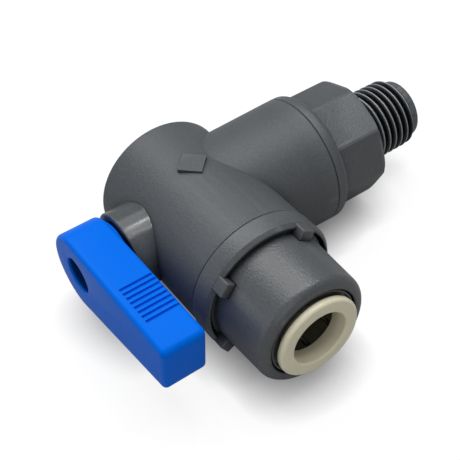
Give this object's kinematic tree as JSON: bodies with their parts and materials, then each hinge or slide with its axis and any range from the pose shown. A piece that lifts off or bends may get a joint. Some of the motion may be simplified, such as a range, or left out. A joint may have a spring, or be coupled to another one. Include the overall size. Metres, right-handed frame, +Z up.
{
  "type": "angle petcock valve",
  "caption": "Moulded angle petcock: a taper-threaded inlet, a ball turned by a side lever, and a push-in tube outlet with a release collet.",
  "frame": {"origin": "bottom centre of the valve's own box, handle in the open position, lying as in the picture", "axes": "+X along the outlet, +Y along the threaded inlet, +Z up, with the lever on the -Y side"},
  "size_m": [0.05, 0.075, 0.0266],
  "materials": {
    "grey_pvc": "grained moulded PVC",
    "blue_handle": "satin moulded",
    "ivory_acetal": "satin moulded",
    "black_acetal": "satin moulded",
    "seal_rubber": "matt",
    "white_ptfe": "waxy",
    "stainless": "turned",
    "stem_brass": "turned"
  },
  "bodies": {
    "valve": {"valve_body": "grey_pvc", "rear_seat_cushion": "seal_rubber", "rear_seat": "white_ptfe", "outlet_seat": "white_ptfe", "outlet_seat_cushion": "seal_rubber", "inlet_seat": "white_ptfe", "inlet_seat_cushion": "seal_rubber", "inlet_adaptor": "grey_pvc", "inlet_adaptor_oring": "seal_rubber", "stem_thrust_washer": "white_ptfe", "outlet_adaptor": "grey_pvc", "outlet_adaptor_oring": "seal_rubber", "tube_oring": "seal_rubber", "tube_oring_spacer": "white_ptfe", "outlet_cap": "grey_pvc", "collet_cartridge": "black_acetal"},
    "lever": {"handle": "blue_handle", "handle_screw": "stainless", "stem": "stem_brass", "ball": "stainless", "stem_inner_oring": "seal_rubber", "stem_outer_oring": "seal_rubber"},
    "collet": {"collet": "ivory_acetal", "collet_teeth": "stainless"}
  },
  "joints": [
    {"name": "handle_turn", "type": "hinge", "parent": "valve", "child": "lever", "pos_m": [-0.01208, -0.03245, 0.0132], "axis": [0, -1, 0], "range_deg": [0, 90]},
    {"name": "collet_release", "type": "slide", "parent": "valve", "child": "collet", "axis": [-1, 0, 0], "range_m": [0, 0.001]}
  ]
}
